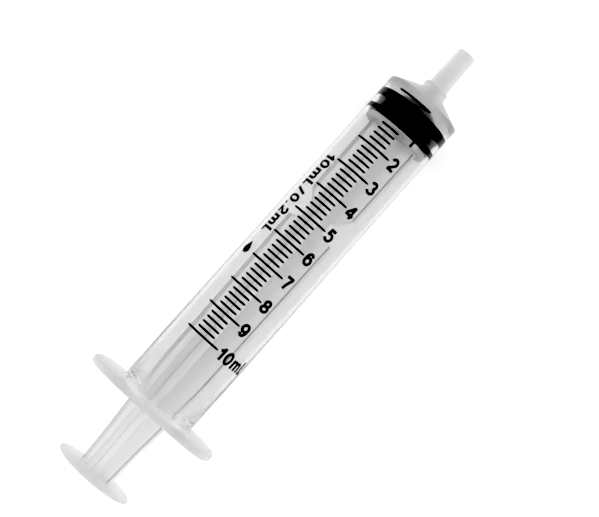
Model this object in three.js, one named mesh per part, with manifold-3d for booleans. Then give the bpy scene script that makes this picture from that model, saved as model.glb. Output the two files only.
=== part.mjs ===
// Oral syringe, 10 mL: barrel, plunger rod and rubber stopper.
// Millimetres. The syringe lies along X with its nozzle at +X; the finger flange is long in Y.
// Stations along the axis ("at" values) are counted from the zero line of the scale.
// The finished group is centred in X and Y, and stands on Z = 0.

import * as THREE from 'three';
import { mergeVertices } from 'three/addons/utils/BufferGeometryUtils.js';
import Module from 'manifold-3d';

const wasm = await Module();
wasm.setup();

// ---- driving dimensions ------------------------------------------------------------------

const BORE_R = 7.35;                // 5.892 mm of this bore holds one millilitre
const BARREL_REAR_AT = -76.3;       // open end, the flange's outer face
const BARREL_REAR_R = 8.23;         // outside, tapering with the mould's draft
const SHOULDER_AT = 1.7;            // outer corner between the tube and its cone
const SHOULDER_R = 8.06;
const SHOULDER_ROUND = 0.25;
const CONE_END_AT = 4.25;
const CONE_END_R = 2.7;
const COLLAR_END_AT = 5.75;
const COLLAR_R = 2.62;
const NOZZLE_BASE_AT = 6.05;
const NOZZLE_BASE_R = 2.08;
const NOZZLE_END_AT = 14.6;
const NOZZLE_END_R = 1.9;
const NOZZLE_ROUND = 0.5;
const NOZZLE_BORE_R = 1.0;
const INNER_CONE_AT = 0.55;         // where the straight bore ends
const INNER_CONE_END_AT = 2.65;     // where the cone's inside meets the nozzle's bore
const BEAD_AT = -73.4;              // ring inside the mouth that keeps the stopper in
const BEAD_R = 7.17;
const BEAD_HALF_LENGTH = 0.6;
const MOUTH_R = 7.75;               // lead-in chamfer of the open end
const MOUTH_DEPTH = 0.8;

const FLANGE_HALF_Y = 14.6;
const FLANGE_HALF_Z = 9.4;
const FLANGE_THICKNESS = 1.5;
const FLANGE_EDGE = 0.3;
const FLANGE_POWER = 3;             // superellipse: 2 is an ellipse, more is squarer

const THUMB_OUTER_AT = -92.9;       // flat middle of the thumb rest
const THUMB_INNER_AT = -91.75;
const THUMB_R = 8.35;
const THUMB_FLAT_R = 4.5;
const THUMB_RIM_OUTER_AT = -92.6;   // the rim is thinner than the middle
const THUMB_RIM_INNER_AT = -92.05;
const THUMB_RIM_ROUND = 0.25;

const VANE_THICKNESS = 1.74;
const VANE_TURN_DEG = -19;          // how far the notched vanes are turned from Y
const VANE_PROFILE = [              // half height of a vane along the rod
  { at: -92.2, r: 3.75 },
  { at: -86.0, r: 4.05 },
  { at: -78.5, r: 4.6 },
  { at: -67.0, r: 5.35 },
  { at: -44.0, r: 5.5 },
  { at: -6.8, r: 5.75 },
];
const NOTCH_REAR_AT = -30.9;        // steep end of the relief notch in two vanes
const NOTCH_FLOOR_START_AT = -30.0;
const NOTCH_FLOOR_END_AT = -27.4;
const NOTCH_FRONT_AT = -24.1;       // top of its ramp
const NOTCH_FLOOR_R = 2.7;

const DISC_REAR_AT = -7.1;
const DISC_FRONT_AT = -5.9;
const DISC_R = 7.0;
const DISC_ROUND = 0.3;
const NECK_R = 2.0;
const HEAD_R = 3.2;
const HEAD_REAR_AT = -4.6;
const HEAD_FRONT_AT = -2.2;
const HEAD_TIP_R = 2.3;

const STOPPER_REAR_AT = -5.8;
const RIB_R = 7.27;
const RIB_ROUND = 0.25;
const REAR_RIB_END_AT = -4.5;
const FRONT_RIB_AT = -2.9;
const FRONT_RIB_END_AT = -0.8;
const GROOVE_R = 7.0;
const NOSE_R = 5.9;
const NOSE_START_AT = -0.75;
const NOSE_TIP_AT = 1.4;
const NOSE_TIP_R = 1.9;
const SOCKET_MOUTH_R = 2.08;
const SOCKET_R = 3.3;
const SOCKET_REAR_AT = -4.75;
const SOCKET_FRONT_AT = -1.95;

const SEGMENTS = 96;
const SMALL_SEGMENTS = 64;

// ---- helpers -----------------------------------------------------------------------------

// A closed manifold solid from a three.js geometry.
function solidOf(geometry) {
  geometry.deleteAttribute('normal');
  geometry.deleteAttribute('uv');
  const merged = mergeVertices(geometry, 1e-5);
  const index = merged.index.array;
  const kept = [];
  for (let i = 0; i < index.length; i += 3) {
    const [a, b, c] = [index[i], index[i + 1], index[i + 2]];
    if (a !== b && b !== c && c !== a) kept.push(a, b, c);
  }
  return new wasm.Manifold(new wasm.Mesh({
    numProp: 3,
    vertProperties: new Float32Array(merged.attributes.position.array),
    triVerts: new Uint32Array(kept),
  }));
}

// Turns a profile of [station, radius] points, listed from -X to +X, about the X axis.
function turned(points, segments = SEGMENTS) {
  const profile = points.map(([at, r]) => new THREE.Vector2(r, at));
  const geometry = new THREE.LatheGeometry(profile, segments);
  geometry.rotateZ(-Math.PI / 2);
  return solidOf(geometry);
}

// Points of a quarter-round edge. The edge stands at the outermost corner (at, r); "side" is -1
// when the flat end behind it faces -X and +1 when it faces +X.
function roundedEdge(at, r, radius, side, steps = 3) {
  const points = [];
  for (let i = 0; i <= steps; i += 1) {
    const angle = (i / steps) * (Math.PI / 2);
    const inward = radius * (1 - Math.sin(angle));
    const along = radius * (1 - Math.cos(angle));
    points.push([at - side * along, r - inward]);
  }
  return side < 0 ? points : points.reverse();
}

// A flat outline in the Y-Z plane, pushed along +X from one station to another.
function pushedAlongX(outline, fromAt, toAt, edge) {
  const shape = new THREE.Shape(outline.map(([y, z]) => new THREE.Vector2(y, z)));
  const geometry = new THREE.ExtrudeGeometry(shape, {
    depth: toAt - fromAt - 2 * edge,
    bevelEnabled: edge > 0,
    bevelThickness: edge,
    bevelSize: edge,
    bevelOffset: -edge,
    bevelSegments: 3,
  });
  geometry.translate(0, 0, edge);
  geometry.rotateY(Math.PI / 2);
  geometry.rotateX(Math.PI / 2);
  geometry.translate(fromAt, 0, 0);
  return solidOf(geometry);
}

// Half of the cross: one plate with its profile given by half heights along the rod.
function vanePlate(profile, turnDeg) {
  const top = profile.map(({ at, r }) => new THREE.Vector2(at, r));
  const bottom = profile.map(({ at, r }) => new THREE.Vector2(at, -r)).reverse();
  const shape = new THREE.Shape([...top, ...bottom]);
  const geometry = new THREE.ExtrudeGeometry(shape, { depth: VANE_THICKNESS, bevelEnabled: false });
  geometry.translate(0, 0, -VANE_THICKNESS / 2);
  geometry.rotateX(THREE.MathUtils.degToRad(turnDeg));
  return solidOf(geometry);
}

// The vane's half height at any station.
function vaneHalfHeight(at) {
  for (let i = 1; i < VANE_PROFILE.length; i += 1) {
    const [a, b] = [VANE_PROFILE[i - 1], VANE_PROFILE[i]];
    if (at <= b.at) return a.r + ((b.r - a.r) * (at - a.at)) / (b.at - a.at);
  }
  return VANE_PROFILE[VANE_PROFILE.length - 1].r;
}

// ---- the barrel, one moulding: tube, finger flange, cone, collar and nozzle -------------------

function flangeOutline(steps = 96) {
  const points = [];
  for (let i = 0; i < steps; i += 1) {
    const angle = (i / steps) * 2 * Math.PI;
    const [c, s] = [Math.cos(angle), Math.sin(angle)];
    const y = FLANGE_HALF_Y * Math.sign(c) * Math.abs(c) ** (2 / FLANGE_POWER);
    const z = FLANGE_HALF_Z * Math.sign(s) * Math.abs(s) ** (2 / FLANGE_POWER);
    points.push([y, z]);
  }
  return points;
}

function barrelSolid() {
  const outside = turned([
    [BARREL_REAR_AT, 0],
    [BARREL_REAR_AT, BARREL_REAR_R],
    [SHOULDER_AT - SHOULDER_ROUND, SHOULDER_R],
    [SHOULDER_AT - SHOULDER_ROUND * 0.3, SHOULDER_R - SHOULDER_ROUND * 0.3],
    [SHOULDER_AT, SHOULDER_R - SHOULDER_ROUND],
    [CONE_END_AT, CONE_END_R],
    [CONE_END_AT + 0.1, COLLAR_R],
    [COLLAR_END_AT, COLLAR_R],
    [NOZZLE_BASE_AT, NOZZLE_BASE_R],
    [NOZZLE_END_AT - NOZZLE_ROUND, NOZZLE_END_R],
    [NOZZLE_END_AT - NOZZLE_ROUND * 0.3, NOZZLE_END_R - NOZZLE_ROUND * 0.3],
    [NOZZLE_END_AT, NOZZLE_END_R - NOZZLE_ROUND],
    [NOZZLE_END_AT, 0],
  ]);
  const flange = pushedAlongX(
    flangeOutline(), BARREL_REAR_AT, BARREL_REAR_AT + FLANGE_THICKNESS, FLANGE_EDGE,
  );
  const inside = turned([
    [BARREL_REAR_AT - 1, 0],
    [BARREL_REAR_AT - 1, MOUTH_R],
    [BARREL_REAR_AT, MOUTH_R],
    [BARREL_REAR_AT + MOUTH_DEPTH, BORE_R],
    [BEAD_AT - BEAD_HALF_LENGTH, BORE_R],
    [BEAD_AT - BEAD_HALF_LENGTH / 3, BEAD_R],
    [BEAD_AT + BEAD_HALF_LENGTH / 3, BEAD_R],
    [BEAD_AT + BEAD_HALF_LENGTH, BORE_R],
    [INNER_CONE_AT, BORE_R],
    [INNER_CONE_END_AT, NOZZLE_BORE_R],
    [NOZZLE_END_AT + 1, NOZZLE_BORE_R],
    [NOZZLE_END_AT + 1, 0],
  ]);
  return outside.add(flange).subtract(inside);
}

// ---- the plunger rod, one moulding: thumb rest, cross, disc, neck and snap-in head -------------

function plungerRodSolid() {
  const notch = [
    { at: NOTCH_REAR_AT, r: vaneHalfHeight(NOTCH_REAR_AT) },
    { at: NOTCH_FLOOR_START_AT, r: NOTCH_FLOOR_R },
    { at: NOTCH_FLOOR_END_AT, r: NOTCH_FLOOR_R },
    { at: NOTCH_FRONT_AT, r: vaneHalfHeight(NOTCH_FRONT_AT) },
  ];
  const before = VANE_PROFILE.filter(({ at }) => at < NOTCH_REAR_AT);
  const after = VANE_PROFILE.filter(({ at }) => at > NOTCH_FRONT_AT);
  const notchedPlate = vanePlate([...before, ...notch, ...after], VANE_TURN_DEG);
  const plainPlate = vanePlate(VANE_PROFILE, VANE_TURN_DEG + 90);
  const thumbRest = turned([
    [THUMB_OUTER_AT, 0],
    [THUMB_OUTER_AT, THUMB_FLAT_R],
    [THUMB_RIM_OUTER_AT, THUMB_R - THUMB_RIM_ROUND],
    [THUMB_RIM_OUTER_AT + THUMB_RIM_ROUND, THUMB_R],
    [THUMB_RIM_INNER_AT - 0.05, THUMB_R],
    [THUMB_RIM_INNER_AT, THUMB_R - 0.1],
    [THUMB_INNER_AT, THUMB_FLAT_R],
    [THUMB_INNER_AT, 0],
  ]);
  const disc = turned([
    [DISC_REAR_AT, 0],
    ...roundedEdge(DISC_REAR_AT, DISC_R, DISC_ROUND, -1),
    ...roundedEdge(DISC_FRONT_AT, DISC_R, DISC_ROUND / 2, 1),
    [DISC_FRONT_AT, NECK_R],
    [DISC_FRONT_AT, 0],
  ]);
  const head = turned([
    [DISC_FRONT_AT - 0.5, 0],
    [DISC_FRONT_AT - 0.5, NECK_R],
    [HEAD_REAR_AT, NECK_R],
    [HEAD_REAR_AT, HEAD_R],
    [HEAD_REAR_AT + 0.6, HEAD_R],
    [HEAD_FRONT_AT, HEAD_TIP_R],
    [HEAD_FRONT_AT, 0],
  ], SMALL_SEGMENTS);
  return thumbRest.add(notchedPlate).add(plainPlate).add(disc).add(head);
}

// ---- the rubber stopper: two ribs, a groove, a conical nose and a socket behind -----------------

function stopperSolid() {
  const outside = turned([
    [STOPPER_REAR_AT, 0],
    ...roundedEdge(STOPPER_REAR_AT, RIB_R, RIB_ROUND, -1),
    ...roundedEdge(REAR_RIB_END_AT, RIB_R, RIB_ROUND, 1),
    [REAR_RIB_END_AT + 0.1, GROOVE_R],
    [FRONT_RIB_AT - 0.1, GROOVE_R],
    ...roundedEdge(FRONT_RIB_AT, RIB_R, RIB_ROUND, -1),
    ...roundedEdge(FRONT_RIB_END_AT, RIB_R, RIB_ROUND, 1),
    [NOSE_START_AT, NOSE_R],
    [NOSE_TIP_AT - 0.2, NOSE_TIP_R + 0.3],
    [NOSE_TIP_AT, NOSE_TIP_R],
    [NOSE_TIP_AT, 0],
  ]);
  const socket = turned([
    [STOPPER_REAR_AT - 1, 0],
    [STOPPER_REAR_AT - 1, SOCKET_MOUTH_R],
    [SOCKET_REAR_AT, SOCKET_MOUTH_R],
    [SOCKET_REAR_AT, SOCKET_R],
    [SOCKET_FRONT_AT - 0.6, SOCKET_R],
    [SOCKET_FRONT_AT, HEAD_TIP_R],
    [SOCKET_FRONT_AT, 0],
  ], SMALL_SEGMENTS);
  return outside.subtract(socket);
}

// ---- meshes ----------------------------------------------------------------------------------

function meshFrom(name, solid, look) {
  const data = solid.getMesh();
  const geometry = new THREE.BufferGeometry();
  geometry.setAttribute('position', new THREE.BufferAttribute(new Float32Array(data.vertProperties), 3));
  geometry.setIndex(new THREE.BufferAttribute(new Uint32Array(data.triVerts), 1));
  const midAt = (THUMB_OUTER_AT + NOZZLE_END_AT) / 2;
  geometry.translate(-midAt, 0, FLANGE_HALF_Z);
  geometry.computeVertexNormals();
  const mesh = new THREE.Mesh(geometry, new THREE.MeshStandardMaterial(look));
  mesh.name = name;
  return mesh;
}

const syringe = new THREE.Group();
syringe.name = 'oral_syringe';
syringe.add(meshFrom('barrel', barrelSolid(), { color: 0xeef1f2, roughness: 0.2, metalness: 0 }));
syringe.add(meshFrom('plunger_rod', plungerRodSolid(), { color: 0xe9edee, roughness: 0.3, metalness: 0 }));
syringe.add(meshFrom('stopper', stopperSolid(), { color: 0x161616, roughness: 0.5, metalness: 0 }));

export default syringe;
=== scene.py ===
"""Looks of a 10 mL oral syringe: smooth barrel, plunger rod, rubber stopper and printed scale.

The syringe lies along X with its nozzle at +X. Lengths are written in millimetres and turned into
metres once, when a mesh is made. "at" is a station along the axis, counted from the scale's zero line.
"""

import math

import bmesh
import bpy
from mathutils import Matrix, Vector


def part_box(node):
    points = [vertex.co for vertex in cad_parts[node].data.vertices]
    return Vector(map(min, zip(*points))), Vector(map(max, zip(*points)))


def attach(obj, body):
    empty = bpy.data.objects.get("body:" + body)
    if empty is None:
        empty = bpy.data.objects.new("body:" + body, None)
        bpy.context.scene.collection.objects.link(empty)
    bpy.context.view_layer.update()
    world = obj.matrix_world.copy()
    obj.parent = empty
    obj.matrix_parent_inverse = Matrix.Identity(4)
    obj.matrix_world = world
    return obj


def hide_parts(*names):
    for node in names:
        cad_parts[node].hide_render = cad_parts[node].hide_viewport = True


MM = 0.001

# ---- sizes that the looks share, in millimetres ------------------------------------------

FLANGE_REAR_AT = -76.3          # the barrel's open end
BORE_R = 7.35
ML = 1000 / (math.pi * BORE_R ** 2)      # length of bore that holds one millilitre

TURNS = 160                     # segments round a turned piece
EDGE_STEPS = 5                  # segments round a small rounded edge

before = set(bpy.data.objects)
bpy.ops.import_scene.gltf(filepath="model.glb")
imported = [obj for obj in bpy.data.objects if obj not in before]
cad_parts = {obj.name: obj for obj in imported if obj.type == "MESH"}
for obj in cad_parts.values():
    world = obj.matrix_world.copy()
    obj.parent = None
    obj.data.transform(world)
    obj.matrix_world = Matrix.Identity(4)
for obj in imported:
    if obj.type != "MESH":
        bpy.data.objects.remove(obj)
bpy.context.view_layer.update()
barrel_low, barrel_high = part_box("barrel")
AXIS_Z = (barrel_low.z + barrel_high.z) / 2 / MM
ZERO_X = barrel_low.x / MM - FLANGE_REAR_AT      # X of the scale's zero line


def place(at, y, z):
    """A point in the row frame, in metres, from a station and offsets from the axis."""
    return Vector((ZERO_X + at, y, AXIS_Z + z)) * MM


# ---- camera ------------------------------------------------------------------------------

def make_camera():
    """Looks down on the syringe, which crosses the picture from lower left to upper right."""
    lens = 80.2
    height = 254.1              # above the axis
    station = -44.2
    aside = -2.0
    tilt = math.radians(1.83)   # leans towards the nozzle
    across = math.radians(48.27)        # the syringe's direction above the picture's horizontal
    orbit = math.radians(4.5)   # about the syringe's axis

    along = Vector((math.cos(tilt), 0, math.sin(tilt)))
    beside = Vector((0, -1, 0))
    forward = Vector((math.sin(tilt), 0, -math.cos(tilt)))
    right = math.cos(across) * along + math.sin(across) * beside
    up = math.sin(across) * along - math.cos(across) * beside
    turn = Matrix.Rotation(orbit, 3, "X")
    axes = Matrix((turn @ right, turn @ up, turn @ -forward))

    data = bpy.data.cameras.new("camera")
    data.lens = lens
    data.sensor_width = 36.0
    data.clip_start = 0.01
    data.clip_end = 10.0
    camera = bpy.data.objects.new("camera", data)
    bpy.context.scene.collection.objects.link(camera)
    offset = turn @ Vector((0, aside, height))
    camera.matrix_world = axes.transposed().to_4x4()
    camera.location = place(station, offset.y, offset.z)
    bpy.context.scene.camera = camera


# ---- mesh helpers ------------------------------------------------------------------------

def object_from(name, bm):
    """A new smooth-shaded object from a bmesh whose coordinates are stations in millimetres."""
    for vert in bm.verts:
        vert.co = place(*vert.co)
    bmesh.ops.recalc_face_normals(bm, faces=bm.faces)
    mesh = bpy.data.meshes.new(name)
    bm.to_mesh(mesh)
    bm.free()
    mesh.shade_smooth()
    piece = bpy.data.objects.new(name, mesh)
    bpy.context.scene.collection.objects.link(piece)
    return piece


def rounded(points, radii):
    """Replaces corners of an open profile with arcs. radii[i] is the corner radius at points[i]."""
    most = 0.49                 # of the way to the next corner
    out = [Vector(points[0])]
    for i in range(1, len(points) - 1):
        before, corner, after = Vector(points[i - 1]), Vector(points[i]), Vector(points[i + 1])
        radius = radii[i]
        if radius == 0:
            out.append(corner)
            continue
        a = (before - corner).normalized()
        b = (after - corner).normalized()
        half = a.angle(b) / 2
        shorter = min((before - corner).length, (after - corner).length)
        reach = min(radius / math.tan(half), shorter * most)
        radius = reach * math.tan(half)
        centre = corner + (a + b).normalized() * (radius / math.sin(half))
        start = corner + a * reach - centre
        swing = math.pi - 2 * half
        sign = 1 if start.x * (corner - centre).y - start.y * (corner - centre).x > 0 else -1
        for step in range(EDGE_STEPS + 1):
            turn = Matrix.Rotation(sign * swing * step / EDGE_STEPS, 2)
            out.append(centre + turn @ start)
    out.append(Vector(points[-1]))
    return out


def ring_shell(rings, closed):
    """Joins rings of points into a shell. A closed shell joins its last ring to its first."""
    bm = bmesh.new()
    made = [[bm.verts.new(p) for p in ring] for ring in rings]
    pairs = list(zip(made, made[1:]))
    if closed:
        pairs.append((made[-1], made[0]))
    for low, high in pairs:
        for i in range(len(low)):
            j = (i + 1) % len(low)
            bm.faces.new((low[i], low[j], high[j], high[i]))
    if not closed:
        bm.faces.new(made[0])
        bm.faces.new(made[-1])
    return bm


def circle(at, r):
    """A ring of points about the axis."""
    angles = [2 * math.pi * i / TURNS for i in range(TURNS)]
    return [Vector((at, r * math.cos(a), r * math.sin(a))) for a in angles]


# ---- the barrel --------------------------------------------------------------------------

FLANGE_HALF_Y = 14.6
FLANGE_HALF_Z = 9.4
FLANGE_THICKNESS = 1.5
FLANGE_POWER = 3.0
FLANGE_EDGE = 0.45
BARREL_REAR_R = 8.23
ROOT_FILLET = 0.5               # between the flange and the tube
MOUTH_EDGE_R = 8.1              # where the flange's rear face meets the mouth's rounded edge
MOUTH_R = 7.8
MOUTH_DEPTH = 0.8
BEAD_AT = -73.4                 # ring inside the mouth that keeps the stopper in
BEAD_R = 7.17
BEAD_HALF_TOP = 0.2
BEAD_HALF_FOOT = 0.6
SHOULDER_AT = 1.7
SHOULDER_R = 8.06
CONE_END_AT = 4.2
CONE_END_R = 2.8
COLLAR_AT = 4.35
COLLAR_R = 2.62
COLLAR_END_AT = 5.75
COLLAR_END_R = 2.58
NOZZLE_AT = 6.05
NOZZLE_R = 2.08
NOZZLE_END_AT = 14.6
NOZZLE_END_R = 1.9
NOZZLE_BORE_R = 1.0
INNER_CONE_AT = 0.55
INNER_CONE_END_AT = 2.65


def flange_ring(at, inset):
    """The flange's outline at one station, pulled in by inset."""
    ring = []
    for i in range(TURNS):
        angle = 2 * math.pi * i / TURNS
        c, s = math.cos(angle), math.sin(angle)
        power = 2 / FLANGE_POWER
        y = math.copysign((FLANGE_HALF_Y - inset) * abs(c) ** power, c)
        z = math.copysign((FLANGE_HALF_Z - inset) * abs(s) ** power, s)
        ring.append(Vector((at, y, z)))
    return ring


def blend_rings(ring, other, share):
    """A ring part of the way from one to another."""
    return [a.lerp(b, share) for a, b in zip(ring, other)]


def barrel_outer_radius(at):
    """The tube's outside radius, which shrinks a little towards the nozzle."""
    share = (at - FLANGE_REAR_AT) / (SHOULDER_AT - FLANGE_REAR_AT)
    return BARREL_REAR_R + (SHOULDER_R - BARREL_REAR_R) * share


def make_barrel():
    """One seamless shell: flange, tube, cone, collar, nozzle, and back down the bore."""
    front_at = FLANGE_REAR_AT + FLANGE_THICKNESS
    rings = []

    # the flange, from its rear face round its rounded rim to the tube
    mouth = circle(FLANGE_REAR_AT, MOUTH_EDGE_R)
    for share in (0.0, 0.35, 0.7):
        rings.append(blend_rings(mouth, flange_ring(FLANGE_REAR_AT, FLANGE_EDGE), share))
    for step in range(EDGE_STEPS + 1):
        angle = math.pi / 2 * step / EDGE_STEPS
        inset = FLANGE_EDGE * (1 - math.sin(angle))
        rings.append(flange_ring(FLANGE_REAR_AT + FLANGE_EDGE * (1 - math.cos(angle)), inset))
    for step in range(EDGE_STEPS + 1):
        angle = math.pi / 2 * step / EDGE_STEPS
        inset = FLANGE_EDGE * (1 - math.cos(angle))
        rings.append(flange_ring(front_at - FLANGE_EDGE * (1 - math.sin(angle)), inset))
    root = circle(front_at, BARREL_REAR_R + ROOT_FILLET)
    for share in (0.4, 0.75):
        rings.append(blend_rings(flange_ring(front_at, FLANGE_EDGE), root, share))
    for step in range(EDGE_STEPS + 1):
        angle = math.pi / 2 * step / EDGE_STEPS
        at = front_at + ROOT_FILLET * (1 - math.cos(angle))
        rings.append(circle(at, barrel_outer_radius(at) + ROOT_FILLET * (1 - math.sin(angle))))

    # the tube, cone, collar and nozzle, then the inside from the tip back to the mouth
    profile = [
        (front_at + ROOT_FILLET, barrel_outer_radius(front_at + ROOT_FILLET)),
        (SHOULDER_AT, SHOULDER_R),
        (CONE_END_AT, CONE_END_R),
        (COLLAR_AT, COLLAR_R),
        (COLLAR_END_AT, COLLAR_END_R),
        (NOZZLE_AT, NOZZLE_R),
        (NOZZLE_END_AT, NOZZLE_END_R),
        (NOZZLE_END_AT, NOZZLE_BORE_R),
        (INNER_CONE_END_AT, NOZZLE_BORE_R),
        (INNER_CONE_AT, BORE_R),
        (BEAD_AT + BEAD_HALF_FOOT, BORE_R),
        (BEAD_AT + BEAD_HALF_TOP, BEAD_R),
        (BEAD_AT - BEAD_HALF_TOP, BEAD_R),
        (BEAD_AT - BEAD_HALF_FOOT, BORE_R),
        (FLANGE_REAR_AT + MOUTH_DEPTH, BORE_R),
        (FLANGE_REAR_AT, MOUTH_R),
        (FLANGE_REAR_AT, MOUTH_EDGE_R),
    ]
    radii = [0, 0.2, 0.2, 0.1, 0.4, 0.3, 0.75, 0.15, 0.3, 0.4, 0.2, 0.2, 0.2, 0.2, 0.5, 0.2, 0]
    for at, r in rounded(profile, radii)[1:-1]:
        rings.append(circle(at, r))
    barrel = object_from("barrel_shell", ring_shell(rings, closed=True))
    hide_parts("barrel")
    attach(barrel, "barrel")
    barrel.data.materials.append(clear_plastic())
    return barrel


# ---- the plunger rod ---------------------------------------------------------------------

VANE_HALF = 0.87                # half the thickness of a vane
VANE_TURN = math.radians(-19)   # how far the notched vanes are turned from Y
VANE_PROFILE = (                # station and half height of a vane
    (-92.2, 3.75),
    (-86.0, 4.05),
    (-78.5, 4.6),
    (-67.0, 5.35),
    (-44.0, 5.5),
    (-6.8, 5.75),
)
VANE_TIP_ROUND = 0.3
VANE_ROOT_ROUND = 0.45
NOTCH_REAR_AT = -30.9           # steep end of the notch
NOTCH_FLOOR_START_AT = -30.0
NOTCH_FLOOR_END_AT = -27.4
NOTCH_FRONT_AT = -24.1          # top of its ramp
NOTCH_FLOOR_R = 2.7
THUMB_OUTER_AT = -92.9
THUMB_INNER_AT = -91.75
THUMB_FLAT_R = 4.5              # the flat middle, which is thicker than the rim
THUMB_R = 8.35
THUMB_RIM_OUTER_AT = -92.6
THUMB_RIM_INNER_AT = -92.05
DISC_REAR_AT = -7.1
DISC_FRONT_AT = -5.9
DISC_R = 7.0
NECK_R = 2.0
HEAD_REAR_AT = -4.6
HEAD_TAPER_AT = -4.0
HEAD_FRONT_AT = -2.2
HEAD_R = 3.2
HEAD_TIP_R = 2.3
CENTRE_R = 0.3                  # a turned solid's flat end is closed inside this radius


def vane_reach(at):
    """Half height of a plain vane at a station."""
    for (a, ra), (b, rb) in zip(VANE_PROFILE, VANE_PROFILE[1:]):
        if at <= b:
            return ra + (rb - ra) * (at - a) / (b - a)
    return VANE_PROFILE[-1][1]


def notched_reach(at):
    """Half height of a notched vane: steep behind the notch, a ramp in front of it."""
    if at <= NOTCH_REAR_AT or at >= NOTCH_FRONT_AT:
        return vane_reach(at)
    if at < NOTCH_FLOOR_START_AT:
        top = vane_reach(NOTCH_REAR_AT)
        share = (at - NOTCH_REAR_AT) / (NOTCH_FLOOR_START_AT - NOTCH_REAR_AT)
        return top + (NOTCH_FLOOR_R - top) * share
    if at > NOTCH_FLOOR_END_AT:
        top = vane_reach(NOTCH_FRONT_AT)
        share = (at - NOTCH_FLOOR_END_AT) / (NOTCH_FRONT_AT - NOTCH_FLOOR_END_AT)
        return NOTCH_FLOOR_R + (top - NOTCH_FLOOR_R) * share
    return NOTCH_FLOOR_R


def cross_ring(at):
    """The cross section of the vanes, with rounded tips and filleted roots."""
    root = VANE_HALF + VANE_ROOT_ROUND
    ring = []
    for vane in range(4):
        reach = notched_reach(at) if vane % 2 == 0 else vane_reach(at)
        lower = []
        for step in range(4):
            angle = math.pi / 4 * (1 + step / 3)
            x = root - VANE_ROOT_ROUND * math.cos(angle)
            lower.append((x, VANE_ROOT_ROUND * math.sin(angle) - root))
        for step in range(5):
            angle = math.pi / 2 * step / 4
            x = reach - VANE_TIP_ROUND * (1 - math.sin(angle))
            lower.append((x, VANE_TIP_ROUND * (1 - math.cos(angle)) - VANE_HALF))
        upper = [(x, -y) for x, y in reversed(lower[1:])]
        direction = VANE_TURN + vane * math.pi / 2
        c, s = math.cos(direction), math.sin(direction)
        ring += [Vector((at, c * x - s * y, s * x + c * y)) for x, y in lower + upper]
    return ring


def turned(name, profile, radii):
    """A solid turned about the axis from a profile whose ends lie on flat faces."""
    rings = [circle(at, r) for at, r in rounded(profile, radii)]
    return object_from(name, ring_shell(rings, closed=False))


def joined(name, pieces):
    """One solid from several that overlap, with its smooth and sharp edges kept."""
    base = pieces[0]
    for other in pieces[1:]:
        union = base.modifiers.new(other.name, "BOOLEAN")
        union.operation = "UNION"
        union.solver = "EXACT"
        union.object = other
    graph = bpy.context.evaluated_depsgraph_get()
    mesh = bpy.data.meshes.new_from_object(base.evaluated_get(graph))
    for piece in pieces:
        bpy.data.objects.remove(piece)
    mesh.name = name
    mesh.shade_smooth()
    mesh.set_sharp_from_angle(angle=math.radians(38))
    solid = bpy.data.objects.new(name, mesh)
    bpy.context.scene.collection.objects.link(solid)
    even_normals(solid)
    return solid


def even_normals(piece):
    """Lets the large faces decide the shading, so that flats look flat beside their fillets."""
    weighted = piece.modifiers.new("even_normals", "WEIGHTED_NORMAL")
    weighted.keep_sharp = True


def rod_stations():
    """Stations of the vane rings: even along the rod, close together at the notch."""
    start, end = VANE_PROFILE[0][0], VANE_PROFILE[-1][0]
    count = 36
    corners = (NOTCH_REAR_AT, NOTCH_FLOOR_START_AT, NOTCH_FLOOR_END_AT, NOTCH_FRONT_AT)
    beside = 0.12
    stations = {start + (end - start) * i / count for i in range(count + 1)}
    stations |= {at for at, _ in VANE_PROFILE}
    stations |= {at + step for at in corners for step in (-beside, 0.0, beside)}
    return sorted(stations)


def make_plunger_rod():
    """Thumb rest, cross of vanes, front disc, neck and the head that snaps into the stopper."""
    vanes = object_from("vanes", ring_shell([cross_ring(at) for at in rod_stations()], closed=False))
    thumb_rest = turned(
        "thumb_rest",
        [
            (THUMB_OUTER_AT, CENTRE_R),
            (THUMB_OUTER_AT, THUMB_FLAT_R),
            (THUMB_RIM_OUTER_AT, THUMB_R),
            (THUMB_RIM_INNER_AT, THUMB_R),
            (THUMB_INNER_AT, THUMB_FLAT_R),
            (THUMB_INNER_AT, CENTRE_R),
        ],
        [0, 2.0, 0.26, 0.26, 2.0, 0],
    )
    front = turned(
        "front",
        [
            (DISC_REAR_AT, CENTRE_R),
            (DISC_REAR_AT, DISC_R),
            (DISC_FRONT_AT, DISC_R),
            (DISC_FRONT_AT, NECK_R),
            (HEAD_REAR_AT, NECK_R),
            (HEAD_REAR_AT, HEAD_R),
            (HEAD_TAPER_AT, HEAD_R),
            (HEAD_FRONT_AT, HEAD_TIP_R),
            (HEAD_FRONT_AT, CENTRE_R),
        ],
        [0, 0.3, 0.2, 0.1, 0.1, 0.15, 0.3, 0.3, 0],
    )
    rod = joined("plunger_rod_shell", [vanes, thumb_rest, front])
    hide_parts("plunger_rod")
    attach(rod, "plunger")
    rod.data.materials.append(rod_plastic())
    return rod


# ---- the stopper -------------------------------------------------------------------------

SEAL_R = BORE_R + 0.004         # the ribs are pressed against the wall, with no air between
STOPPER_REAR_AT = -5.8
REAR_RIB_END_AT = -4.5
FRONT_RIB_AT = -2.9
FRONT_RIB_END_AT = -0.8
GROOVE_R = 6.98
GROOVE_SLOPE = 0.1              # how far each side of the groove leans in
NOSE_START_AT = -0.75
NOSE_R = 5.9
NOSE_TIP_AT = 1.4
NOSE_TIP_R = 2.0
SOCKET_R = 3.3
SOCKET_MOUTH_R = 2.08
SOCKET_REAR_AT = -4.75
SOCKET_TAPER_AT = -2.55
SOCKET_FRONT_AT = -1.95
SOCKET_TIP_R = 2.35


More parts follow.
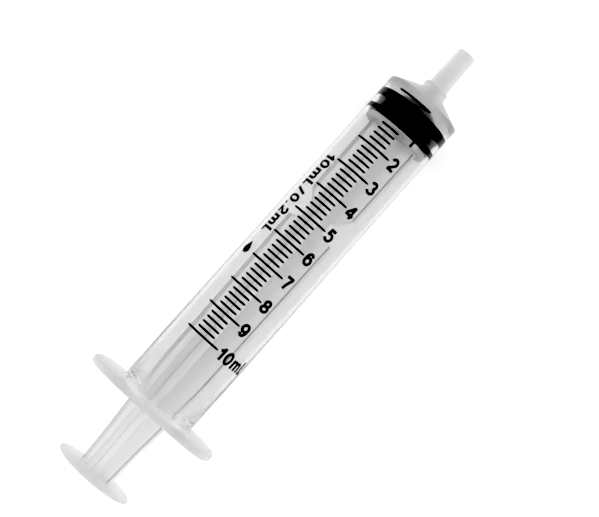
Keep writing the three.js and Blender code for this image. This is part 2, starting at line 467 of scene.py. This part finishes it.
def make_stopper():
    """From the socket's floor out to its mouth, over two ribs with a groove, to the conical nose."""
    profile = [
        (SOCKET_FRONT_AT, CENTRE_R),
        (SOCKET_FRONT_AT, SOCKET_TIP_R),
        (SOCKET_TAPER_AT, SOCKET_R),
        (SOCKET_REAR_AT, SOCKET_R),
        (SOCKET_REAR_AT, SOCKET_MOUTH_R),
        (STOPPER_REAR_AT, SOCKET_MOUTH_R),
        (STOPPER_REAR_AT, SEAL_R),
        (REAR_RIB_END_AT, SEAL_R),
        (REAR_RIB_END_AT + GROOVE_SLOPE, GROOVE_R),
        (FRONT_RIB_AT - GROOVE_SLOPE, GROOVE_R),
        (FRONT_RIB_AT, SEAL_R),
        (FRONT_RIB_END_AT, SEAL_R),
        (NOSE_START_AT, NOSE_R),
        (NOSE_TIP_AT, NOSE_TIP_R),
        (NOSE_TIP_AT, CENTRE_R),
    ]
    radii = [0, 0.2, 0.2, 0.15, 0.15, 0.15, 0.12, 0.2, 0.1, 0.1, 0.2, 0.2, 0.2, 0.4, 0]
    stopper = turned("stopper_shell", profile, radii)
    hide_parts("stopper")
    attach(stopper, "stopper")
    stopper.data.materials.append(black_rubber())
    even_normals(stopper)
    return stopper


# ---- the printed scale -------------------------------------------------------------------

INK_LIFT = 0.004                # above the barrel's surface
INK_THICKNESS = 0.02
LINE_WIDTH = 0.46
LINE_END_SHARE = 0.55           # a line is narrower at its ends
LONG_LINE = (-35.4, 20.6)       # degrees round the barrel from straight up, towards -Y
SHORT_LINE = (-21.9, 7.3)
PRINT_SKEW = 0.06               # degrees that the print turns with each millimetre
PRINT_BOW = -0.0012             # and what it bows by, for each millimetre squared
PRINT_MIDDLE_AT = -39.5
CAPACITY_ML = 10
LINES_PER_ML = 5
DIGIT_START = 22.3              # degrees round the barrel to the foot of the numbers
DIGIT_HEIGHT = 2.85
LEGEND_HEIGHT = 2.7
PRINT_STRIP = 0.25              # width of the strips that bend the flat print round the barrel


def on_barrel(at, degrees, lift):
    """A point of the print, which sits slightly askew on the barrel's surface."""
    from_middle = at - PRINT_MIDDLE_AT
    angle = math.radians(degrees + PRINT_SKEW * from_middle + PRINT_BOW * from_middle ** 2)
    r = barrel_outer_radius(at) + lift
    return Vector((at, -r * math.sin(angle), r * math.cos(angle)))


def add_line(bm, at, span):
    """One graduation line, bent round the barrel, with rounded ends."""
    steps = 14
    start, end = span
    low, high = INK_LIFT, INK_LIFT + INK_THICKNESS
    rings = []
    for i in range(steps + 1):
        degrees = start + (end - start) * i / steps
        half = LINE_WIDTH / 2 * (LINE_END_SHARE if i in (0, steps) else 1.0)
        corners = ((at - half, low), (at + half, low), (at + half, high), (at - half, high))
        rings.append([bm.verts.new(on_barrel(a, degrees, lift)) for a, lift in corners])
    for ring, other in zip(rings, rings[1:]):
        for i in range(4):
            j = (i + 1) % 4
            bm.faces.new((ring[i], ring[j], other[j], other[i]))
    bm.faces.new(rings[0])
    bm.faces.new(rings[-1])


def make_graduations():
    """Long lines at every millilitre and four short ones between them."""
    bm = bmesh.new()
    for line in range(CAPACITY_ML * LINES_PER_ML + 1):
        at = -ML * line / LINES_PER_ML
        add_line(bm, at, LONG_LINE if line % LINES_PER_ML == 0 else SHORT_LINE)
    return ink_piece("scale_lines", bm)


def arc(x, y, rx, ry, start, end, steps=14):
    """Points on an elliptical arc between two angles in degrees."""
    angles = [math.radians(start + (end - start) * i / steps) for i in range(steps + 1)]
    return [(x + rx * math.cos(a), y + ry * math.sin(a)) for a in angles]


def glyph_strokes():
    """Centre lines of the plain characters, in a box one unit wide and high."""
    six = [arc(0.5, 0.32, 0.5, 0.32, 0, 360), arc(0.5, 0.5, 0.5, 0.5, 35, 180) + [(0, 0.32)]]
    nine = [[(1 - x, 1 - y) for x, y in stroke] for stroke in six]
    return {
        "0": [arc(0.5, 0.5, 0.5, 0.5, 0, 360, 24)],
        "1": [[(1, -0.1), (1, 1.1)], [(1, 1), (0.6, 0.8), (-0.1, 0.68)]],
        "2": [arc(0.5, 0.69, 0.47, 0.31, 170, -25) + [(0.08, 0.04)], [(-0.1, 0), (1.1, 0)]],
        "3": [arc(0.46, 0.75, 0.43, 0.25, 165, -80), arc(0.46, 0.27, 0.54, 0.27, 80, -165)],
        "4": [[(0.74, -0.1), (0.74, 1.08)], [(0.68, 1), (-0.06, 0.26)], [(-0.16, 0.22), (1.15, 0.22)]],
        "5": [[(1.0, 1), (0.22, 1), (0.1, 0.5)], arc(0.46, 0.33, 0.54, 0.33, 135, -160)],
        "6": six,
        "7": [[(-0.1, 1), (1.1, 1)], [(0.97, 0.98), (0.7, 0.66), (0.5, 0.33), (0.4, -0.1)]],
        "8": [arc(0.5, 0.76, 0.42, 0.24, 0, 360), arc(0.5, 0.26, 0.52, 0.26, 0, 360)],
        "9": nine,
        "m": [
            [(0, -0.1), (0, 0.78)],
            arc(0.25, 0.45, 0.25, 0.24, 180, 0, 10) + [(0.5, -0.1)],
            arc(0.75, 0.45, 0.25, 0.24, 180, 0, 10) + [(1, -0.1)],
        ],
        "L": [[(0, 1.1), (0, 0), (1.1, 0)]],
        "/": [[(0, -0.1), (1, 1.1)]],
        ".": [[(0, -0.1), (0, 0.12)]],
    }


GLYPH_WIDTH = {"1": 0.24, "4": 0.5, "m": 0.72, "L": 0.34, "/": 0.28, ".": 0.0}
DIGIT_WIDTH = 0.46              # centre line to centre line, as a share of the height
STROKE = 0.215                  # stroke thickness, as a share of the height
SPACING = 0.12                  # gap between characters, as a share of the height


def add_ribbon(bm, points, width):
    """A flat stroke of even width along a line of points."""
    closed = (Vector(points[0]) - Vector(points[-1])).length < 1e-4
    line = [Vector(p) for p in (points[:-1] if closed else points)]
    pairs = []
    for i, point in enumerate(line):
        before = line[i - 1] if i or closed else None
        after = line[(i + 1) % len(line)] if i + 1 < len(line) or closed else None
        into = (point - before).normalized() if before is not None else None
        out = (after - point).normalized() if after is not None else into
        into = into if into is not None else out
        side = (into + out).normalized()
        stretch = min(1 / max(side.dot(out), 0.2), 1.5)
        across = Vector((-side.y, side.x)) * width / 2 * stretch
        pairs.append([bm.verts.new((*(point + across), 0)), bm.verts.new((*(point - across), 0))])
    if closed:
        pairs.append(pairs[0])
    for low, high in zip(pairs, pairs[1:]):
        bm.faces.new((low[0], low[1], high[1], high[0]))


def flat_text(words, height):
    """Flat characters of one height, their strokes as ribbons, the first at the left."""
    strokes = glyph_strokes()
    width = STROKE * height
    rise = height - width
    bm = bmesh.new()
    left = 0.0
    for character in words:
        span = GLYPH_WIDTH.get(character, DIGIT_WIDTH) * height
        for stroke in strokes[character]:
            points = [(left + width / 2 + x * span, width / 2 + y * rise) for x, y in stroke]
            add_ribbon(bm, points, width)
        left += span + width + SPACING * height
    return bm


def wrap_print(flat, place_point):
    """Cuts a flat print into strips, gives it thickness and bends it onto the barrel."""
    for axis in (0, 1):
        high = max(v.co[axis] for v in flat.verts)
        normal = Vector((1, 0, 0)) if axis == 0 else Vector((0, 1, 0))
        for i in range(1, int(high / PRINT_STRIP) + 1):
            geometry = flat.verts[:] + flat.edges[:] + flat.faces[:]
            cut = normal * PRINT_STRIP * i
            bmesh.ops.bisect_plane(flat, geom=geometry, plane_co=cut, plane_no=normal)
    grown = bmesh.ops.extrude_face_region(flat, geom=flat.faces[:])
    for item in grown["geom"]:
        if isinstance(item, bmesh.types.BMVert):
            item.co.z = INK_THICKNESS
    for vert in flat.verts:
        vert.co = place_point(vert.co.x, vert.co.y, vert.co.z + INK_LIFT)
    return flat


def merge_into(bm, other):
    """Copies one bmesh's geometry into another."""
    mesh = bpy.data.meshes.new("part")
    other.to_mesh(mesh)
    other.free()
    bm.from_mesh(mesh)
    bpy.data.meshes.remove(mesh)


def degrees_for(length, at):
    """The angle that a length takes up round the barrel."""
    return math.degrees(length / barrel_outer_radius(at))


def make_numbers():
    """Numbers 1 to 10 beside the long lines, their tops towards the nozzle."""
    bm = bmesh.new()
    for value in range(1, CAPACITY_ML + 1):
        words = f"{value}mL" if value == CAPACITY_ML else str(value)
        centre = -ML * value
        flat = flat_text(words, DIGIT_HEIGHT)

        def on_line(x, y, lift, centre=centre):
            at = centre + y - DIGIT_HEIGHT / 2
            return on_barrel(at, DIGIT_START + degrees_for(x, centre), lift)

        merge_into(bm, wrap_print(flat, on_line))
    return ink_piece("scale_numbers", bm)


def make_legend():
    """The capacity and the division in plain lettering, read from the nozzle end."""
    start_at = -17.4
    foot = -56.5
    flat = flat_text("10mL/0.2mL", LEGEND_HEIGHT)

    def along(x, y, lift):
        at = start_at - x
        return on_barrel(at, foot + degrees_for(y, at), lift)

    bm = bmesh.new()
    merge_into(bm, wrap_print(flat, along))
    return ink_piece("scale_legend", bm)


def make_drop_mark():
    """A plain drop, its tip towards the nozzle."""
    centre_at = -41.3
    centre_degrees = -50.5
    radius = 1.0
    count = 48
    shift = 2                   # keeps the drop on the side of zero where wrap_print cuts
    bm = bmesh.new()
    rim = []
    for i in range(count):
        angle = 2 * math.pi * i / count
        stretch = 1 + 0.7 * max(0.0, math.cos(angle)) ** 3
        squeeze = 1 - 0.35 * max(0.0, math.cos(angle)) ** 2
        x = radius * math.cos(angle) * stretch
        y = radius * math.sin(angle) * squeeze
        rim.append(bm.verts.new((x + shift, y + shift, 0)))
    bm.faces.new(rim)

    def around(x, y, lift):
        degrees = centre_degrees + degrees_for(y - shift, centre_at)
        return on_barrel(centre_at + x - shift, degrees, lift)

    return ink_piece("scale_mark", wrap_print(bm, around))


def ink_piece(name, bm):
    """A printed piece that rides on the barrel."""
    piece = object_from(name, bm)
    piece.data.shade_flat()
    piece.data.materials.append(black_ink())
    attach(piece, "barrel")
    return piece


# ---- materials ---------------------------------------------------------------------------

def new_material(name):
    """A node material, its nodes and links, and its Principled shader."""
    material = bpy.data.materials.new(name)
    material.use_nodes = True
    nodes = material.node_tree.nodes
    return material, nodes, material.node_tree.links, nodes["Principled BSDF"]


def grain(nodes, links, size_mm, detail=3.0):
    """Noise in object space with features of about the given size."""
    where = nodes.new("ShaderNodeTexCoord")
    noise = nodes.new("ShaderNodeTexNoise")
    noise.inputs["Scale"].default_value = 1 / (size_mm * MM)
    noise.inputs["Detail"].default_value = detail
    links.new(where.outputs["Object"], noise.inputs["Vector"])
    return noise.outputs["Fac"]


def spread(nodes, links, value, low, high):
    """Turns noise into a number between two limits."""
    ramp = nodes.new("ShaderNodeMapRange")
    ramp.inputs["From Min"].default_value = 0.3
    ramp.inputs["From Max"].default_value = 0.7
    ramp.inputs["To Min"].default_value = low
    ramp.inputs["To Max"].default_value = high
    links.new(value, ramp.inputs["Value"])
    return ramp.outputs["Result"]


def bump(nodes, links, shader, height, strength, depth_mm):
    """Adds surface relief to a shader."""
    relief = nodes.new("ShaderNodeBump")
    relief.inputs["Strength"].default_value = strength
    relief.inputs["Distance"].default_value = depth_mm * MM
    links.new(height, relief.inputs["Height"])
    links.new(relief.outputs["Normal"], shader.inputs["Normal"])


def along_axis(nodes, links, stops):
    """A number that changes along the syringe, from (station, value) stops."""
    first, last = stops[0][0], stops[-1][0]
    where = nodes.new("ShaderNodeTexCoord")
    split = nodes.new("ShaderNodeSeparateXYZ")
    share = nodes.new("ShaderNodeMapRange")
    curve = nodes.new("ShaderNodeValToRGB")
    share.inputs["From Min"].default_value = place(first, 0, 0).x
    share.inputs["From Max"].default_value = place(last, 0, 0).x
    while len(curve.color_ramp.elements) < len(stops):
        curve.color_ramp.elements.new(0.5)
    for element, (at, value) in zip(curve.color_ramp.elements, stops):
        element.position = (at - first) / (last - first)
        element.color = (value, value, value, 1)
    links.new(where.outputs["Object"], split.inputs["Vector"])
    links.new(split.outputs["X"], share.inputs["Value"])
    links.new(share.outputs["Result"], curve.inputs["Fac"])
    return curve.outputs["Color"]


def combined(nodes, links, operation, value, other):
    """The result of a sum on a socket and another socket or number."""
    step = nodes.new("ShaderNodeMath")
    step.operation = operation
    links.new(value, step.inputs[0])
    if isinstance(other, float):
        step.inputs[1].default_value = other
    else:
        links.new(other, step.inputs[1])
    return step.outputs["Value"]


def vane_edges(nodes, links):
    """Painted shade along the vanes' long edges, standing in for the light that the edges refract
    away: a narrow band, 1 on the notched pair, less on the other.
    """
    below_tip = 0.28            # depth of the band from the vane's tip
    inside_face = 0.25          # and from its side
    plain_share = 0.35
    where = nodes.new("ShaderNodeTexCoord")
    turn = nodes.new("ShaderNodeVectorRotate")
    shift = nodes.new("ShaderNodeVectorMath")
    size = nodes.new("ShaderNodeVectorMath")
    split = nodes.new("ShaderNodeSeparateXYZ")
    turn.rotation_type = "X_AXIS"
    turn.inputs["Center"].default_value = place(0, 0, 0)
    turn.inputs["Angle"].default_value = -VANE_TURN
    shift.operation = "SUBTRACT"
    shift.inputs[1].default_value = place(0, 0, 0)
    size.operation = "ABSOLUTE"
    links.new(where.outputs["Object"], turn.inputs["Vector"])
    links.new(turn.outputs["Vector"], shift.inputs[0])
    links.new(shift.outputs["Vector"], size.inputs[0])
    links.new(size.outputs["Vector"], split.inputs["Vector"])
    longer = combined(nodes, links, "MAXIMUM", split.outputs["Y"], split.outputs["Z"])
    shorter = combined(nodes, links, "MINIMUM", split.outputs["Y"], split.outputs["Z"])
    reach = along_axis(nodes, links, [(at, r * MM) for at, r in VANE_PROFILE])
    to_tip = combined(nodes, links, "SUBTRACT", longer, reach)
    near_tip = combined(nodes, links, "GREATER_THAN", to_tip, -below_tip * MM)
    near_side = combined(nodes, links, "GREATER_THAN", shorter, (VANE_HALF - inside_face) * MM)
    edge = combined(nodes, links, "MULTIPLY", near_tip, near_side)
    notched = combined(nodes, links, "GREATER_THAN", split.outputs["Y"], split.outputs["Z"])
    gain = combined(nodes, links, "MULTIPLY", notched, 1 - plain_share)
    share = combined(nodes, links, "ADD", gain, plain_share)
    return combined(nodes, links, "MULTIPLY", edge, share)


def let_lamps_through(material, nodes, links, shader):
    """Lamps reach what is behind the plastic, which casts no dark shadow of its own."""
    output = nodes["Material Output"]
    path = nodes.new("ShaderNodeLightPath")
    clear = nodes.new("ShaderNodeBsdfTransparent")
    mix = nodes.new("ShaderNodeMixShader")
    clear.inputs["Color"].default_value = (0.94, 0.94, 0.94, 1)
    links.new(path.outputs["Is Shadow Ray"], mix.inputs["Fac"])
    links.new(shader.outputs["BSDF"], mix.inputs[1])
    links.new(clear.outputs["BSDF"], mix.inputs[2])
    links.new(mix.outputs["Shader"], output.inputs["Surface"])


def clear_plastic():
    """Clear polypropylene, frosted at the flange, cone and nozzle, with a moulding's soft waves."""
    material, nodes, links, shader = new_material("clear_plastic")
    tone_stops = [(-77, 0.85), (-3, 0.84), (0, 0.9), (2, 0.78), (4.5, 0.77), (6, 0.82), (15, 0.87)]
    clear_stops = [(-77, 0.7), (-75, 0.7), (-73.5, 1.0), (0, 1.0), (2, 0.75), (6, 0.5), (15, 0.4)]
    frost_stops = [
        (-77, 0.4), (-74.8, 0.36), (-74.2, 0.23), (-72, 0.22),
        (-64, 0.05), (-0.9, 0.05), (0.2, 0.32), (15, 0.36),
    ]
    tone = along_axis(nodes, links, tone_stops)
    links.new(tone, shader.inputs["Base Color"])
    shader.inputs["IOR"].default_value = 1.36
    clear = along_axis(nodes, links, clear_stops)
    links.new(clear, shader.inputs["Transmission Weight"])
    shader.inputs["Specular Tint"].default_value = (0.6, 0.6, 0.6, 1)
    frost = along_axis(nodes, links, frost_stops)
    patches = spread(nodes, links, grain(nodes, links, 3.0), 0.0, 0.04)
    links.new(combined(nodes, links, "ADD", frost, patches), shader.inputs["Roughness"])
    bump(nodes, links, shader, grain(nodes, links, 6.0, 1.0), 0.02, 0.02)
    let_lamps_through(material, nodes, links, shader)
    return material


def rod_plastic():
    """Translucent polypropylene of the plunger rod, milkier and duller than the barrel, with painted
    shade along the vanes' long edges.
    """
    material, nodes, links, shader = new_material("rod_plastic")
    tone_stops = [(-93, 0.89), (-91.7, 0.87), (-78, 0.87), (-72, 0.93), (-6, 0.93)]
    clear_stops = [(-93, 0.5), (-78, 0.55), (-72, 0.84), (-6, 0.84)]
    # how deep the painted edge shade is along the rod
    edge_shade_stops = [(-91.8, 0.0), (-91.6, 0.35), (-77, 0.4), (-70, 0.65), (-7.2, 0.65), (-7.1, 0.0)]
    tone = along_axis(nodes, links, tone_stops)
    depth = along_axis(nodes, links, edge_shade_stops)
    # painted shade: the base colour is darkened in a band along the vanes' long edges
    shade = combined(nodes, links, "MULTIPLY", vane_edges(nodes, links), depth)
    links.new(combined(nodes, links, "SUBTRACT", tone, shade), shader.inputs["Base Color"])
    shader.inputs["IOR"].default_value = 1.3
    clear = along_axis(nodes, links, clear_stops)
    links.new(clear, shader.inputs["Transmission Weight"])
    links.new(spread(nodes, links, grain(nodes, links, 2.0), 0.3, 0.36), shader.inputs["Roughness"])
    bump(nodes, links, shader, grain(nodes, links, 2.5, 1.0), 0.05, 0.01)
    let_lamps_through(material, nodes, links, shader)
    return material


def black_rubber():
    """Moulded black rubber with a fine grain, its own black on the ribs pressed against the wall, and
    a painted reflection that greys the nose.
    """
    material, nodes, links, shader = new_material("black_rubber")
    # painted reflection: the nose in front of the front rib is painted grey, while the ribs keep the
    # rubber's black
    tone = along_axis(nodes, links, [(-6, 0.005), (-0.75, 0.005), (-0.6, 0.11), (1.5, 0.11)])
    dust = spread(nodes, links, grain(nodes, links, 0.8), 0.6, 1.4)
    links.new(combined(nodes, links, "MULTIPLY", tone, dust), shader.inputs["Base Color"])
    shader.inputs["Specular IOR Level"].default_value = 0.2
    links.new(spread(nodes, links, grain(nodes, links, 1.5), 0.35, 0.5), shader.inputs["Roughness"])
    bump(nodes, links, shader, grain(nodes, links, 0.12), 0.25, 0.01)
    return material


def black_ink():
    """Screen-printed ink, a little uneven in cover."""
    known = bpy.data.materials.get("black_ink")
    if known:
        return known
    material, nodes, links, shader = new_material("black_ink")
    tint = nodes.new("ShaderNodeMix")
    tint.data_type = "RGBA"
    tint.inputs["A"].default_value = (0.004, 0.004, 0.004, 1)
    tint.inputs["B"].default_value = (0.012, 0.012, 0.012, 1)
    links.new(grain(nodes, links, 0.2), tint.inputs["Factor"])
    links.new(tint.outputs["Result"], shader.inputs["Base Color"])
    links.new(spread(nodes, links, grain(nodes, links, 0.5), 0.45, 0.6), shader.inputs["Roughness"])
    return material


def floor_paper():
    """White translucent sheet of a light table, lit a little from below."""
    material, nodes, links, shader = new_material("floor_paper")
    tint = nodes.new("ShaderNodeMix")
    tint.data_type = "RGBA"
    tint.inputs["A"].default_value = (0.9, 0.9, 0.9, 1)
    tint.inputs["B"].default_value = (0.92, 0.92, 0.92, 1)
    links.new(grain(nodes, links, 1.0), tint.inputs["Factor"])
    links.new(tint.outputs["Result"], shader.inputs["Base Color"])
    shader.inputs["Roughness"].default_value = 0.9
    shader.inputs["Emission Color"].default_value = (1, 1, 1, 1)
    shader.inputs["Emission Strength"].default_value = 0.37
    return material


# ---- the studio --------------------------------------------------------------------------

def make_floor():
    """A wide pale floor that the flange just touches."""
    half = 1.5
    bm = bmesh.new()
    corners = [bm.verts.new((x * half, y * half, 0)) for x, y in ((-1, -1), (1, -1), (1, 1), (-1, 1))]
    bm.faces.new(corners)
    mesh = bpy.data.meshes.new("floor")
    bm.to_mesh(mesh)
    bm.free()
    floor = bpy.data.objects.new("floor", mesh)
    bpy.context.scene.collection.objects.link(floor)
    mesh.materials.append(floor_paper())


def add_softbox(name, power, size, position, target):
    """A square area light aimed at a point."""
    data = bpy.data.lights.new(name, "AREA")
    data.energy = power
    data.size = size
    light = bpy.data.objects.new(name, data)
    bpy.context.scene.collection.objects.link(light)
    light.location = position
    light.rotation_mode = "QUATERNION"
    light.rotation_quaternion = (target - light.location).to_track_quat("-Z", "Y")


def light_tent():
    """White walls all round with an opening straight above, so that black stays black from there."""
    world = bpy.data.worlds.new("light_tent")
    bpy.context.scene.world = world
    world.use_nodes = True
    nodes, links = world.node_tree.nodes, world.node_tree.links
    where = nodes.new("ShaderNodeTexCoord")
    split = nodes.new("ShaderNodeSeparateXYZ")
    level = nodes.new("ShaderNodeMapRange")
    level.inputs["From Min"].default_value = 0.75
    level.inputs["From Max"].default_value = 0.92
    level.inputs["To Min"].default_value = 0.9
    level.inputs["To Max"].default_value = 0.6
    links.new(where.outputs["Generated"], split.inputs["Vector"])
    links.new(split.outputs["Z"], level.inputs["Value"])
    links.new(level.outputs["Result"], nodes["Background"].inputs["Strength"])
    nodes["Background"].inputs["Color"].default_value = (1, 1, 1, 1)


def make_light():
    """Bright, even studio light with a large softbox at each side."""
    centre = place(-39, 0, 0)
    add_softbox("left_softbox", 1.2, 0.6, Vector((-0.1, 0.8, 0.35)), centre)
    add_softbox("right_softbox", 1.2, 0.6, Vector((0.1, -0.8, 0.35)), centre)
    light_tent()
    view = bpy.context.scene.view_settings
    view.view_transform = "Standard"
    view.look = "None"
    view.use_curve_mapping = True
    view.curve_mapping.black_level = (0.09, 0.09, 0.09)


# ---- build -------------------------------------------------------------------------------

make_camera()
make_barrel()
make_plunger_rod()
make_stopper()
make_graduations()
make_numbers()
make_legend()
make_drop_mark()
make_floor()
make_light()
